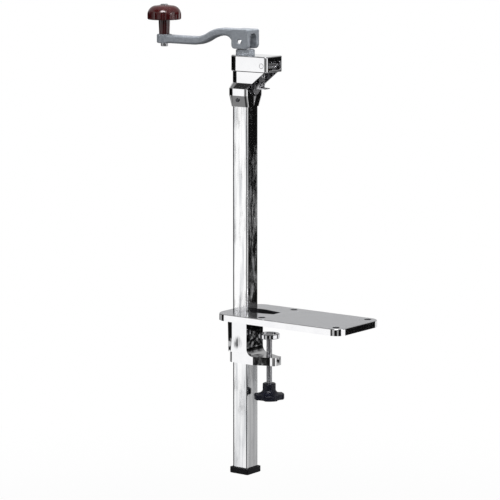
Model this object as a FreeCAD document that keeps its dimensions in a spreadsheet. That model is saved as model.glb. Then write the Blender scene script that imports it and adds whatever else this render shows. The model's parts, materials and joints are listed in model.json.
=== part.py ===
import FreeCAD, Part
import math
import os
import Sketcher

# Commercial can opener: a square column that slides in a clamped table base,
# with a head casting, a toothed drive wheel, a swinging blade and a folding crank.
# The origin is on the column's axis in the plane of the table top. +X points
# along the base plate to the can's side and +Z points up.

doc = FreeCAD.newDocument("can_opener")
sheet = doc.addObject("Spreadsheet::Sheet", "sizes")

DRIVING_SIZES = {
    # Column and foot
    "bar_width": 25.0,
    "bar_wall": 2.0,
    "bar_corner": 2.0,
    "bar_length": 521.9,
    "bar_rise": 305.5,
    "foot_width": 31.6,
    "foot_height": 8.0,
    "foot_floor": 2.5,
    "foot_corner": 3.0,
    "foot_edge": 0.75,
    # Base casting
    "plate_back": 17.5,
    "plate_length": 209.0,
    "plate_width": 98.0,
    "plate_thickness": 9.4,
    "plate_back_corner": 20.0,
    "plate_front_corner": 15.0,
    "plate_edge": 1.2,
    "screw_hole": 5.5,
    "screw_head_hole": 10.0,
    "screw_spacing_y": 74.0,
    "screw_first": 55.5,
    "screw_end": 14.0,
    "window_end": 54.0,
    "window_width": 30.0,
    "window_tip": 17.0,
    "window_straight": 24.0,
    "guide_width": 38.0,
    "guide_front": 16.0,
    "guide_draft": 1.5,
    "guide_depth": 62.4,
    "guide_corner": 3.0,
    "guide_block": 14.4,
    "block_corner": 8.0,
    "side_recess_back": 16.5,
    "side_recess_front": 6.5,
    "side_recess_depth": 3.0,
    "side_recess_slope": 5.5,
    "side_recess_scoop": 18.0,
    "side_recess_lip": 0.2,
    "plate_root": 2.0,
    "jaw_thickness": 11.2,
    "jaw_end": 56.5,
    "jaw_taper_end": 8.0,
    "jaw_tip_width": 18.0,
    "jaw_corner": 4.5,
    "jaw_root": 27.0,
    "jaw_fillet": 10.0,
    "slide_gap": 0.3,
    # Friction spring in the guide
    "spring_strip": 0.8,
    "spring_width": 12.0,
    "spring_pocket": 1.9,
    "spring_length": 40.0,
    "spring_drop": 6.0,
    # Clamp
    "clamp_offset": 40.8,
    "clamp_thread": 8.0,
    "clamp_gap": 19.4,
    "pad_diameter": 28.5,
    "pad_thickness": 6.5,
    "pad_recess": 18.0,
    "pad_recess_depth": 2.4,
    "pad_neck": 5.6,
    "pad_head": 9.5,
    "pad_head_taper": 1.0,
    "pad_head_drop": 0.8,
    "pad_edge": 0.8,
    "knob_drop": 88.4,
    "knob_neck": 18.0,
    "knob_span": 41.3,
    "knob_height": 22.3,
    "knob_rim": 7.5,
    "knob_neck_height": 9.5,
    "knob_lobes": 4.0,
    "knob_flare": 9.0,
    "knob_edge": 1.5,
    "knob_socket": 15.0,
    "knob_scallop": 22.0,
    "knob_scallop_offset": 27.0,
    # Head casting
    "head_width": 38.0,
    "head_front": 49.0,
    "head_height": 21.7,
    "head_top_wall": 3.0,
    "head_front_wall": 3.0,
    "head_corner": 3.5,
    "head_edge": 1.6,
    "waist_width": 34.0,
    "waist_height": 23.2,
    "cheek_gap": 30.0,
    "cheek_top": 43.0,
    "cheek_foot": 17.5,
    "cheek_foot_rise": 3.0,
    "flare_height": 8.0,
    "socket_height": 24.8,
    "socket_cover": 16.8,
    "socket_straight": 9.4,
    "socket_back": 20.5,
    "socket_front": 15.5,
    "socket_corner": 15.0,
    "socket_edge": 3.5,
    "socket_wall": 1.6,
    "notch_width": 13.0,
    "notch_foot": 1.2,
    "notch_tip": 0.6,
    "notch_depth": 2.5,
    "window_height": 11.6,
    "front_window_width": 29.0,
    "front_window_rise": 2.9,
    "window_corner": 2.0,
    "window_bevel": 0.7,
    "lever_side_gap": 1.5,
    "column_pin": 5.0,
    "column_pin_depth": 7.5,
    # Spindle, bush and wheel
    "spindle_upper": 15.0,
    "spindle_journal": 13.0,
    "spindle_stub": 8.0,
    "bush_outer": 18.0,
    "bush_flange": 22.0,
    "bush_flange_thickness": 2.5,
    "floor_thickness": 6.7,
    "wheel_diameter": 32.4,
    "wheel_thickness": 4.5,
    "wheel_hub": 20.0,
    "wheel_lift": 1.3,
    "wheel_bevel": 0.6,
    "wheel_teeth": 32.0,
    "tooth_depth": 1.3,
    "tooth_space": 0.72,
    "nut_across": 13.0,
    "nut_height": 4.2,
    "stub_proud": 0.8,
    "washer_thickness": 1.2,
    "washer_overhang": 1.5,
    "chamber_gap": 0.5,
    # Sleeve
    "sleeve_diameter": 25.7,
    "sleeve_height": 10.0,
    "sleeve_gap": 1.2,
    "sleeve_proud": 7.1,
    "sleeve_edge": 0.8,
    # Blade lever
    "lever_pin": 6.0,
    "lever_pin_x": 40.8,
    "lever_pin_rise": 9.4,
    "lever_boss": 9.8,
    "lever_width": 12.0,
    "lever_thickness": 7.3,
    "lever_tip": 10.9,
    "lever_toe": 36.6,
    "lever_toe_height": 1.2,
    "lever_toe_slope": 0.5,
    "lever_arm_height": 3.5,
    "lever_elbow": 2.5,
    "lever_elbow_drop": 8.0,
    "lever_throat": 6.0,
    "lever_tube_side": 2.0,
    "blade_gap": 1.5,
    "blade_thickness": 3.0,
    "blade_width": 15.0,
    "blade_length": 30.0,
    "blade_drop": 1.3,
    "blade_point_back": 2.0,
    "blade_point_front": 3.0,
    "blade_point_rise": 0.8,
    "blade_back_rise": 6.0,
    "blade_front_rise": 7.0,
    "blade_bevel_height": 7.5,
    "blade_edge": 0.3,
    "blade_screw": 4.0,
    "blade_screw_head": 8.0,
    "blade_screw_head_height": 2.6,
    "blade_screw_lower": 13.4,
    "blade_screw_upper": 25.2,
    "spring_wire": 1.0,
    "spring_turns": 3.0,
    "spring_pitch": 1.1,
    # Crank
    "crank_radius": 139.8,
    "crank_pin": 6.0,
    "crank_pin_recess": 0.2,
    "pin_bevel": 0.5,
    "hinge_bevel": 1.2,
    "hub_width": 27.5,
    "hub_back": 14.0,
    "hub_front": 13.4,
    "hub_below": 9.6,
    "hub_above": 16.8,
    "hub_cam": 6.0,
    "hub_slot": 13.8,
    "hub_slot_above": 11.2,
    "hub_slot_back": 9.5,
    "hub_slot_corner": 5.5,
    "hub_edge": 1.2,
    "hub_corner": 5.0,
    "hub_top_corner": 2.5,
    "tongue_gap": 0.4,
    "arm_width": 15.0,
    "arm_edge": 3.2,
    "arm_root": 13.0,
    "arm_under_offset": 3.5,
    "arm_low_top": 3.1,
    "arm_low_bottom": 8.2,
    "arm_high_bottom": 6.6,
    "arm_bend_start": 85.0,
    "arm_bend_end": 34.0,
    "boss_diameter": 21.0,
    "boss_above": 3.6,
    "boss_below": 8.5,
    "boss_edge": 1.5,
    # Grip knob and its stud
    "grip_diameter": 46.6,
    "grip_dome": 20.0,
    "grip_shoulder": 12.5,
    "grip_crown_rise": 0.8,
    "grip_flutes": 10.0,
    "grip_flute_radius": 9.0,
    "grip_flute_depth": 1.0,
    "grip_lip": 2.0,
    "grip_neck": 16.0,
    "grip_neck_foot": 14.5,
    "grip_neck_height": 19.9,
    "stud_diameter": 8.0,
    "stud_head": 10.0,
    "stud_rivet_height": 4.6,
    "stud_recess": 1.6,
    "stud_proud": 1.3,
    "stud_bevel": 0.6,
    # Clearances
    "running_gap": 0.05,
    "seat_gap": 0.02,
    "face_gap": 0.3,
    "thread_gap": 0.2,
}

# How far a cutting shape reaches past the face that it goes through
PAST = 1.0


class Measure:
    """A length of the sheet, or one worked out from several, with its formula."""

    def __init__(self, formula, number):
        self.formula = formula
        self.number = number

    def __add__(self, other):
        other = as_measure(other)
        return Measure(f"({self.formula} + {other.formula})", self.number + other.number)

    def __sub__(self, other):
        other = as_measure(other)
        return Measure(f"({self.formula} - {other.formula})", self.number - other.number)

    def __mul__(self, other):
        other = as_measure(other)
        return Measure(f"({self.formula} * {other.formula})", self.number * other.number)

    def __truediv__(self, other):
        other = as_measure(other)
        return Measure(f"({self.formula} / {other.formula})", self.number / other.number)

    def __radd__(self, other):
        return as_measure(other) + self

    def __rsub__(self, other):
        return as_measure(other) - self

    def __rmul__(self, other):
        return as_measure(other) * self

    def __neg__(self):
        return as_measure(0) - self


def as_measure(value):
    if isinstance(value, Measure):
        return value
    return Measure(repr(float(value)), float(value))


class Sizes:
    """The sheet's cells by name."""

    def __init__(self, values):
        for row, (name, number) in enumerate(values.items(), start=1):
            sheet.set(f"A{row}", name)
            sheet.set(f"B{row}", str(number))
            sheet.setAlias(f"B{row}", name)
            setattr(self, name, Measure(f"sizes.{name}", number))
        doc.recompute()


size = Sizes(DRIVING_SIZES)


# Heights above the table top, worked out from the driving sizes
class Level:
    """Heights and places that several pieces share."""

    bar_top = size.bar_rise
    bar_bottom = size.bar_rise - size.bar_length
    foot_bottom = bar_bottom - size.foot_floor
    chamber_floor = bar_top + size.chamber_gap
    socket_bottom = bar_top - size.socket_cover
    waist_bottom = socket_bottom + size.socket_height
    box_bottom = waist_bottom + size.waist_height
    box_top = box_bottom + size.head_height
    box_floor = box_bottom + size.floor_thickness
    box_ceiling = box_top - size.head_top_wall
    wheel_bottom = chamber_floor + size.wheel_lift
    wheel_top = wheel_bottom + size.wheel_thickness
    bush_bottom = box_bottom - size.bush_flange_thickness
    hub_top = bush_bottom - size.face_gap
    sleeve_top = box_top + size.sleeve_proud
    sleeve_bottom = sleeve_top - size.sleeve_height
    crank_bottom = sleeve_top + size.sleeve_gap
    crank_axis = crank_bottom + size.hub_below
    lever_axis = box_bottom + size.lever_pin_rise
    lever_bottom = waist_bottom
    pad_top = -size.clamp_gap
    pad_bottom = pad_top - size.pad_thickness
    guide_bottom = -size.guide_depth
    block_top = guide_bottom + size.guide_block
    jaw_top = guide_bottom + size.jaw_thickness
    knob_top = -size.knob_drop
    knob_bottom = knob_top - size.knob_height
    boss_top = crank_axis + size.boss_above
    boss_bottom = crank_axis - size.boss_below
    grip_bottom = boss_top + size.face_gap
    grip_shoulder = grip_bottom + size.grip_neck_height
    grip_top = grip_shoulder + size.grip_dome
    blade_back = size.wheel_diameter / 2 + size.blade_gap
    lever_back = blade_back + size.blade_thickness
    lever_front = lever_back + size.lever_thickness
    blade_bottom = chamber_floor - size.blade_drop


def bind(feature, field, value):
    """Ties one property of a feature to a length of the sheet."""
    value = as_measure(value)
    feature.setExpression(field, value.formula)


def new_body(label):
    body = doc.addObject("PartDesign::Body", label)
    body.Label = label
    return body


def add_sketch(body, plane, offset=0):
    """An empty sketch on one of the body's own planes, moved along its normal."""
    sketch = body.newObject("Sketcher::SketchObject", f"{body.Name}_sketch")
    for feature in body.Origin.OriginFeatures:
        if feature.Role == plane:
            sketch.AttachmentSupport = [(feature, "")]
    sketch.MapMode = "FlatFace"
    bind(sketch, "AttachmentOffset.Base.z", offset)
    return sketch


def pin_point(sketch, shape_index, point_index, place):
    """Ties one point of a sketch to a place that comes from the sheet."""
    for kind, value in zip(("DistanceX", "DistanceY"), place):
        value = as_measure(value)
        rule = Sketcher.Constraint(kind, -1, 1, shape_index, point_index, value.number)
        index = sketch.addConstraint(rule)
        sketch.setExpression(f"Constraints[{index}]", value.formula)


def vector(place):
    return FreeCAD.Vector(as_measure(place[0]).number, as_measure(place[1]).number, 0)


def arc_through(start, end, radius, turn):
    """The short arc between two points; turn is 1 to the left and -1 to the right.
    Its own ends always go round against the clock."""
    chord = end - start
    half = chord.Length / 2
    rise = math.sqrt(max(radius * radius - half * half, 0))
    side = FreeCAD.Vector(-chord.y, chord.x, 0).normalize() * turn
    middle = start + chord / 2 + side * (rise - radius)
    if turn == 1:
        return Part.Arc(start, middle, end)
    return Part.Arc(end, middle, start)


def draw_outline(sketch, steps):
    """Draws a closed outline. A step is (x, y) for a straight edge to that point,
    or (x, y, radius, turn) for an arc to it. The first step is the starting point
    and its own edge closes the outline."""
    count = len(steps)
    first = sketch.GeometryCount
    for index in range(count):
        start = vector(steps[index])
        target = steps[(index + 1) % count]
        if len(target) == 2:
            edge = Part.LineSegment(start, vector(target))
        else:
            edge = arc_through(start, vector(target), as_measure(target[2]).number, target[3])
        sketch.addGeometry(edge, False)
    for index in range(count):
        target = steps[(index + 1) % count]
        following = steps[(index + 2) % count]
        here = first + index
        after = first + (index + 1) % count
        here_end = far_end(target)
        after_start = 3 - far_end(following)
        sketch.addConstraint(Sketcher.Constraint("Coincident", here, here_end, after, after_start))
        pin_point(sketch, here, here_end, target)
        if len(target) == 4:
            radius = as_measure(target[2])
            number = sketch.addConstraint(Sketcher.Constraint("Radius", here, radius.number))
            sketch.setExpression(f"Constraints[{number}]", radius.formula)


def far_end(step):
    """The sketcher's number for the end that a step's edge arrives at."""
    if len(step) == 4 and step[3] == -1:
        return 1
    return 2


def draw_rectangle(sketch, low, high, corner_radii=(0, 0, 0, 0)):
    """A rectangle; the corners go round from low x, low y, against the clock."""
    corners = [(low[0], low[1]), (high[0], low[1]), (high[0], high[1]), (low[0], high[1])]
    ways_in = [(0, -1), (1, 0), (0, 1), (-1, 0)]
    ways_out = [(1, 0), (0, 1), (-1, 0), (0, -1)]
    steps = []
    for (x, y), radius, way_in, way_out in zip(corners, corner_radii, ways_in, ways_out):
        if radius == 0:
            steps.append((x, y))
            continue
        steps.append((x - way_in[0] * radius, y - way_in[1] * radius))
        steps.append((x + way_out[0] * radius, y + way_out[1] * radius, radius, 1))
    draw_outline(sketch, steps)


def draw_circle(sketch, place, diameter):
    diameter = as_measure(diameter)
    circle = Part.Circle(vector(place), FreeCAD.Vector(0, 0, 1), diameter.number / 2)
    index = sketch.addGeometry(circle, False)
    pin_point(sketch, index, 3, place)
    number = sketch.addConstraint(Sketcher.Constraint("Diameter", index, diameter.number))
    sketch.setExpression(f"Constraints[{number}]", diameter.formula)


def settled(feature):
    """Recomputes and makes sure that the feature has a sound shape."""
    doc.recompute()
    if "Invalid" in feature.State or "Error" in feature.State or not feature.Shape.isValid():
        raise RuntimeError(f"{feature.Name} failed: {feature.State}")
    return feature


def add_pad(body, sketch, length, midplane=False, reverse=False):
    pad = body.newObject("PartDesign::Pad", f"{body.Name}_pad")
    pad.Profile = sketch
    pad.Midplane = midplane
    pad.Reversed = reverse
    bind(pad, "Length", length)
    return settled(pad)


def add_pocket(body, sketch, length, midplane=False, reverse=False):
    """Cuts a sketch into the body and makes sure that it removed something."""
    before = body.Shape.Volume
    pocket = body.newObject("PartDesign::Pocket", f"{body.Name}_pocket")
    pocket.Profile = sketch
    pocket.Midplane = midplane
    pocket.Reversed = reverse
    bind(pocket, "Length", length)
    settled(pocket)
    if not body.Shape.Volume < before:
        raise RuntimeError(f"{pocket.Name} cuts nothing")
    return pocket


def add_revolution(body, sketch):
    """Turns a sketch round its own vertical axis."""
    turned = body.newObject("PartDesign::Revolution", f"{body.Name}_revolution")
    turned.Profile = sketch
    turned.ReferenceAxis = (sketch, ["V_Axis"])
    turned.Angle = 360
    return settled(turned)


def add_loft(body, first, last, cut=False):
    """Joins two sections by straight walls, as material or as a cut."""
    kind = "SubtractiveLoft" if cut else "AdditiveLoft"
    loft = body.newObject(f"PartDesign::{kind}", f"{body.Name}_loft")
    loft.Profile = first
    loft.Sections = [last]
    loft.Ruled = True
    return settled(loft)


def repeat_round(body, cut, sketch, count):
    """Repeats a cut round the upright axis of its sketch."""
    ring = body.newObject("PartDesign::PolarPattern", f"{body.Name}_ring")
    ring.Originals = [cut]
    ring.Axis = (sketch, ["N_Axis"])
    ring.Angle = 360
    bind(ring, "Occurrences", count)
    body.Tip = ring
    return settled(ring)


def edge_names(body, wanted):
    """Names of the body's edges whose middle and direction pass a test."""
    names = []
    for number, edge in enumerate(body.Shape.Edges, start=1):
        first, last = edge.ParameterRange
        middle = edge.valueAt((first + last) / 2)
        ends = edge.valueAt(last) - edge.valueAt(first)
        if wanted(edge, middle, ends):
            names.append(f"Edge{number}")
    return names


def add_fillet(body, wanted, radius):
    names = edge_names(body, wanted)
    base = body.Tip
    fillet = body.newObject("PartDesign::Fillet", f"{body.Name}_fillet")
    fillet.Base = (base, names)
    bind(fillet, "Radius", radius)
    return settled(fillet)


def add_chamfer(body, wanted, width):
    names = edge_names(body, wanted)
    base = body.Tip
    chamfer = body.newObject("PartDesign::Chamfer", f"{body.Name}_chamfer")
    chamfer.Base = (base, names)
    bind(chamfer, "Size", width)
    return settled(chamfer)


def is_upright(ends):
    return abs(ends.x) < 0.01 and abs(ends.y) < 0.01 and abs(ends.z) > 0.5


def near(value, target, reach=0.05):
    return abs(value - as_measure(target).number) < reach


def within(value, low, high, reach=0.05):
    return as_measure(low).number - reach < value < as_measure(high).number + reach


def place_body(body, x=0, y=0, z=0):
    """Moves a body that was drawn round its own axis to its place in the part."""
    for field, value in (("x", x), ("y", y), ("z", z)):
        bind(body, f"Placement.Base.{field}", value)


# Base casting


def make_base_casting():
    """Table plate, column guide and clamp jaw, cast in one."""
    body = new_body("base_casting")
    half_width = size.plate_width / 2
    guide_half = size.guide_width / 2
    bore_half = size.bar_width / 2 + size.slide_gap

    profile = add_sketch(body, "XZ_Plane")
    draw_outline(profile, [
        (-size.plate_back, 0),
        (size.guide_front, 0),
        (size.guide_front, Level.jaw_top + size.jaw_fillet),
        (size.guide_front + size.jaw_fillet, Level.jaw_top, size.jaw_fillet, 1),
        (size.jaw_end, Level.jaw_top),
        (size.jaw_end, Level.guide_bottom),
        (-size.plate_back + size.guide_draft, Level.guide_bottom),
    ])
    add_pad(body, profile, size.guide_width, midplane=True)

    def back_corner(edge, middle, ends):
        at_back = middle.x < -size.bar_width.number / 2
        return at_back and near(abs(middle.y), guide_half) and abs(ends.z) > guide_half.number

    add_fillet(body, back_corner, size.guide_corner)

    taper = add_sketch(body, "XY_Plane", Level.guide_bottom)
    tip_half = size.jaw_tip_width / 2
    beyond = size.jaw_end + PAST
    for side in (1, -1):
        draw_outline(taper, [
            (size.jaw_root, side * guide_half),
            (size.clamp_offset + size.jaw_taper_end, side * tip_half),
            (beyond, side * tip_half),
            (beyond, side * (guide_half + PAST)),
            (size.jaw_root, side * (guide_half + PAST)),
        ])
    add_pocket(body, taper, size.jaw_thickness + PAST, reverse=True)

    def jaw_corner(edge, middle, ends):
        return near(middle.x, size.jaw_end) and is_upright(ends)

    add_fillet(body, jaw_corner, size.jaw_corner)

    block = add_sketch(body, "XY_Plane", Level.guide_bottom - PAST)
    corner = size.block_corner
    block_back = size.guide_draft - size.plate_back
    behind = -size.plate_back - PAST
    for side in (1, -1):
        draw_outline(block, [
            (behind, side * (guide_half + PAST)),
            (behind, side * (guide_half - corner)),
            (block_back, side * (guide_half - corner)),
            (block_back + corner, side * guide_half, corner, -side),
            (block_back + corner, side * (guide_half + PAST)),
        ])
    add_pocket(body, block, size.guide_block + PAST, reverse=True)

    def recess_section(height, depth, side):
        """The side recess at one height, with a sloping wall at its back."""
        section = add_sketch(body, "XY_Plane", height)
        floor = guide_half - depth
        draw_outline(section, [
            (-size.side_recess_back, side * (guide_half + PAST)),
            (-size.side_recess_back, side * guide_half),
            (size.side_recess_slope - size.side_recess_back, side * floor),
            (size.side_recess_front, side * floor),
            (size.side_recess_front + size.side_recess_lip, side * guide_half),
            (size.side_recess_front + size.side_recess_lip, side * (guide_half + PAST)),
        ])
        return section

    scoop_top = Level.block_top + size.side_recess_scoop
    for side in (1, -1):
        full = recess_section(scoop_top, size.side_recess_depth, side)
        foot = recess_section(Level.block_top, size.side_recess_lip, side)
        add_loft(body, full, foot, cut=True)
        recess = recess_section(scoop_top, size.side_recess_depth, side)
        add_pocket(body, recess, -size.plate_root - scoop_top, reverse=True)

    plate = add_sketch(body, "XY_Plane")
    back = size.plate_back_corner
    front = size.plate_front_corner
    draw_rectangle(
        plate,
        (-size.plate_back, -half_width),
        (size.plate_length - size.plate_back, half_width),
        (back, front, front, back),
    )
    add_pad(body, plate, size.plate_thickness)

    def plate_rim(edge, middle, ends):
        return near(middle.z, size.plate_thickness)

    add_fillet(body, plate_rim, size.plate_edge)

    window = add_sketch(body, "XY_Plane")
    straight_half = size.window_width / 2
    window_tip = size.window_tip / 2
    draw_outline(window, [
        (-bore_half, -bore_half),
        (bore_half - PAST, -bore_half),
        (bore_half - PAST, -straight_half),
        (size.window_straight, -straight_half),
        (size.window_end, -window_tip),
        (size.window_end, window_tip),
        (size.window_straight, straight_half),
        (bore_half - PAST, straight_half),
        (bore_half - PAST, bore_half),
        (-bore_half, bore_half),
    ])
    add_pocket(body, window, size.plate_thickness + PAST, reverse=True)

    bore = add_sketch(body, "XY_Plane", PAST)
    draw_rectangle(bore, (-bore_half, -bore_half), (bore_half, bore_half))
    add_pocket(body, bore, size.guide_depth + 2 * PAST)

    spring_seat = add_sketch(body, "YZ_Plane", -bore_half - size.spring_pocket)
    strip_half = size.spring_width / 2 + size.face_gap
    seat_top = -size.spring_drop + size.face_gap
    seat_bottom = -size.spring_drop - size.spring_length - size.face_gap
    draw_rectangle(spring_seat, (-strip_half, seat_bottom), (strip_half, seat_top))
    add_pocket(body, spring_seat, size.spring_pocket + PAST, reverse=True)

    clamp_hole = add_sketch(body, "XY_Plane", Level.guide_bottom - PAST)
    draw_circle(clamp_hole, (size.clamp_offset, 0), size.clamp_thread + 2 * size.thread_gap)
    add_pocket(body, clamp_hole, size.jaw_thickness + 2 * PAST, reverse=True)

    holes = add_sketch(body, "XY_Plane")
    screw_last = size.plate_length - size.plate_back - size.screw_end
    for along in (size.screw_first, screw_last):
        for side in (1, -1):
            draw_circle(holes, (along, side * size.screw_spacing_y / 2), size.screw_hole)
    add_pocket(body, holes, size.plate_thickness + PAST, reverse=True)

    def hole_mouth(edge, middle, ends):
        on_top = near(middle.z, size.plate_thickness)
        is_circle = isinstance(edge.Curve, Part.Circle)
        return on_top and is_circle and near(edge.Curve.Radius, size.screw_hole / 2)

    add_chamfer(body, hole_mouth, (size.screw_head_hole - size.screw_hole) / 2)
    return body


def make_friction_spring():
    """Bowed strip in the guide's back wall that holds the column at its height."""
    body = new_body("friction_spring")
    seat = -(size.bar_width / 2 + size.slide_gap + size.spring_pocket)
    back = seat + size.running_gap
    crown = -size.bar_width / 2 - size.running_gap * 2 - size.spring_strip
    rise = crown - back
    half = size.spring_length / 2
    radius = (half * half + rise * rise) / (2 * rise)
    bow = add_sketch(body, "XZ_Plane")
    draw_outline(bow, [
        (back, half),
        (back, -half, radius, -1),
        (back + size.spring_strip, -half),
        (back + size.spring_strip, half, radius, 1),
    ])
    add_pad(body, bow, size.spring_width, midplane=True)
    place_body(body, z=-size.spring_drop - half)
    return body


# Column and foot


def make_column_bar():
    """Square tube with rounded edges and a cross hole near its top."""
    body = new_body("column_bar")
    half = size.bar_width / 2
    corner = size.bar_corner
    inner = half - size.bar_wall
    tube = add_sketch(body, "XY_Plane")
    draw_rectangle(tube, (-half, -half), (half, half), (corner, corner, corner, corner))
    draw_rectangle(tube, (-inner, -inner), (inner, inner))
    add_pad(body, tube, size.bar_length)
    hole = add_sketch(body, "XZ_Plane")
    draw_circle(hole, (0, size.bar_length - size.column_pin_depth), size.column_pin + 2 * size.seat_gap)
    add_pocket(body, hole, size.bar_width + 2 * PAST, midplane=True)
    place_body(body, z=Level.bar_bottom)
    return body


def make_foot_cap():
    """Moulded cap that the column's lower end stands in."""
    body = new_body("foot_cap")
    half = size.foot_width / 2
    corner = size.foot_corner
    inner = size.bar_width / 2 + size.running_gap
    block = add_sketch(body, "XY_Plane")
    draw_rectangle(block, (-half, -half), (half, half), (corner, corner, corner, corner))
    add_pad(body, block, size.foot_height)

    def lower_rim(edge, middle, ends):
        return near(middle.z, 0)

    add_chamfer(body, lower_rim, size.foot_edge)
    cup = add_sketch(body, "XY_Plane", size.foot_floor)
    round_corner = size.bar_corner
    draw_rectangle(
        cup,
        (-inner, -inner),
        (inner, inner),
        (round_corner, round_corner, round_corner, round_corner),
    )
    add_pocket(body, cup, size.foot_height, reverse=True)
    place_body(body, z=Level.foot_bottom)
    return body


def make_column_pin():
    """Cross pin that holds the head casting on the column."""
    body = new_body("column_pin")
    disc = add_sketch(body, "XZ_Plane")
    draw_circle(disc, (0, 0), size.column_pin)
    add_pad(body, disc, size.head_width - 2 * size.face_gap, midplane=True)
    place_body(body, z=Level.bar_top - size.column_pin_depth)
    return body


# Head casting


def draw_half_circle_box(sketch, half, front):
    """Two half-round corners that meet behind the axis, and a flat front."""
    draw_outline(sketch, [
        (0, half),
        (-half, 0, half, 1),
        (0, -half, half, 1),
        (front, -half),
        (front, half),
    ])


def make_head_casting():
    """Box, waist with two cheeks and the socket on the column, cast in one."""
    body = new_body("head_casting")
    bore_half = size.bar_width / 2 + size.seat_gap
    head_half = size.head_width / 2

    box = add_sketch(body, "XY_Plane", Level.box_bottom)
    draw_half_circle_box(box, head_half, size.head_front)
    add_pad(body, box, size.head_height)

    def box_corner(edge, middle, ends):
        return near(middle.x, size.head_front) and is_upright(ends)

    add_fillet(body, box_corner, size.head_corner)

    def box_rim(edge, middle, ends):
        return near(middle.z, Level.box_top) or near(middle.z, Level.box_bottom)

    add_fillet(body, box_rim, size.head_edge)

    waist = add_sketch(body, "XY_Plane", Level.waist_bottom - PAST)
    waist_half = size.waist_width / 2
    draw_half_circle_box(waist, waist_half, size.cheek_top)
    add_pad(body, waist, size.waist_height + 2 * PAST)

    def ring_section(height, back, front, side, corner, edge):
        """A cross section of the socket, with round corners of two sizes."""
        section = add_sketch(body, "XY_Plane", height)
        draw_rectangle(section, (-back, -side), (front, side), (corner, edge, edge, corner))
        return section

    collar_foot = Level.waist_bottom - size.socket_straight
    collar = (size.socket_back, size.socket_front, head_half, size.socket_corner, size.socket_edge)
    waist_corner = waist_half - size.seat_gap
    flare_top = (waist_half, size.cheek_top, waist_half, waist_corner, size.socket_edge)
    add_loft(
        body,
        ring_section(Level.waist_bottom, *collar),
        ring_section(Level.waist_bottom + size.flare_height, *flare_top),
    )

    slope = add_sketch(body, "XZ_Plane")
    slope_foot = Level.waist_bottom - size.cheek_foot_rise
    draw_outline(slope, [
        (size.cheek_top, Level.box_bottom),
        (size.cheek_foot, Level.waist_bottom + size.cheek_foot_rise),
        (size.socket_front, Level.waist_bottom),
        (size.socket_front, slope_foot),
        (size.cheek_top + PAST, slope_foot),
        (size.cheek_top + PAST, Level.box_bottom),
    ])
    add_pocket(body, slope, size.head_width + 2 * PAST, midplane=True)

    foot_half = size.bar_width / 2 + size.socket_wall
    foot_corner = size.bar_corner + size.socket_wall
    foot = (foot_half, foot_half, foot_half, foot_corner, foot_corner)
    add_pad(body, ring_section(collar_foot, *collar), size.socket_straight)
    add_loft(body, ring_section(collar_foot, *collar), ring_section(Level.socket_bottom, *foot))

    bore = add_sketch(body, "XY_Plane", Level.socket_bottom - PAST)
    draw_rectangle(bore, (-bore_half, -bore_half), (bore_half, bore_half))
    add_pocket(body, bore, size.socket_height + PAST, reverse=True)

    chamber = add_sketch(body, "XY_Plane", Level.chamber_floor)
    draw_circle(chamber, (0, 0), size.wheel_diameter + 2 * size.chamber_gap)
    add_pocket(body, chamber, Level.waist_bottom - Level.chamber_floor, reverse=True)

    def notch_section(height, floor, width):
        """The wedge-shaped relief in the socket's front at one height."""
        section = add_sketch(body, "XY_Plane", height)
        draw_rectangle(section, (floor, -width / 2), (size.socket_front + PAST, width / 2))
        return section

    add_loft(
        body,
        notch_section(Level.waist_bottom, size.socket_front - size.notch_depth, size.notch_width),
        notch_section(Level.socket_bottom + size.notch_foot, foot_half, size.notch_tip),
        cut=True,
    )

    gap = add_sketch(body, "XY_Plane", Level.wheel_top)
    cheek_half = size.cheek_gap / 2
    draw_half_circle_box(gap, cheek_half, size.cheek_top + PAST)
    add_pocket(body, gap, Level.box_bottom - Level.wheel_top, reverse=True)

    hollow = add_sketch(body, "XY_Plane", Level.box_bottom - PAST)
    hollow_front = size.head_front - size.head_front_wall
    draw_rectangle(hollow, (cheek_half, -cheek_half), (hollow_front, cheek_half))
    add_pocket(body, hollow, Level.box_ceiling - Level.box_bottom + PAST, reverse=True)

    lever_way = add_sketch(body, "XY_Plane", Level.box_floor)
    way_half = size.lever_width / 2 + size.lever_side_gap
    draw_rectangle(lever_way, (0, -way_half), (cheek_half + PAST, way_half))
    add_pocket(body, lever_way, Level.box_ceiling - Level.box_floor, reverse=True)

    sleeve_bore = add_sketch(body, "XY_Plane", Level.box_floor)
    draw_circle(sleeve_bore, (0, 0), size.sleeve_diameter + 2 * size.face_gap)
    add_pocket(body, sleeve_bore, size.head_height, reverse=True)

    bush_bore = add_sketch(body, "XY_Plane", Level.box_bottom - PAST)
    draw_circle(bush_bore, (0, 0), size.bush_outer + 2 * size.seat_gap)
    add_pocket(body, bush_bore, size.floor_thickness + 2 * PAST, reverse=True)

    window = add_sketch(body, "YZ_Plane", hollow_front - PAST)
    window_half = size.front_window_width / 2
    window_low = Level.box_bottom + size.front_window_rise
    window_high = window_low + size.window_height
    corner = size.window_corner
    draw_rectangle(
        window,
        (-window_half, window_low),
        (window_half, window_high),
        (corner, corner, corner, corner),
    )
    add_pocket(body, window, size.head_front_wall + 2 * PAST, reverse=True)

    def window_mouth(edge, middle, ends):
        across = within(middle.y, -window_half, window_half)
        upward = within(middle.z, window_low, window_high)
        return near(middle.x, size.head_front) and across and upward

    add_chamfer(body, window_mouth, size.window_bevel)

    cross_holes = add_sketch(body, "XZ_Plane")
    column_pin_height = Level.bar_top - size.column_pin_depth
    draw_circle(cross_holes, (size.lever_pin_x, Level.lever_axis), size.lever_pin + 2 * size.seat_gap)
    draw_circle(cross_holes, (0, column_pin_height), size.column_pin + 2 * size.seat_gap)
    add_pocket(body, cross_holes, size.head_width + 2 * PAST, midplane=True)
    return body


# Spindle group


def draw_turned(body, steps):
    """A revolution of an outline given as radius and height."""
    profile = add_sketch(body, "XZ_Plane")
    draw_outline(profile, steps)
    return add_revolution(body, profile)


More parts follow.
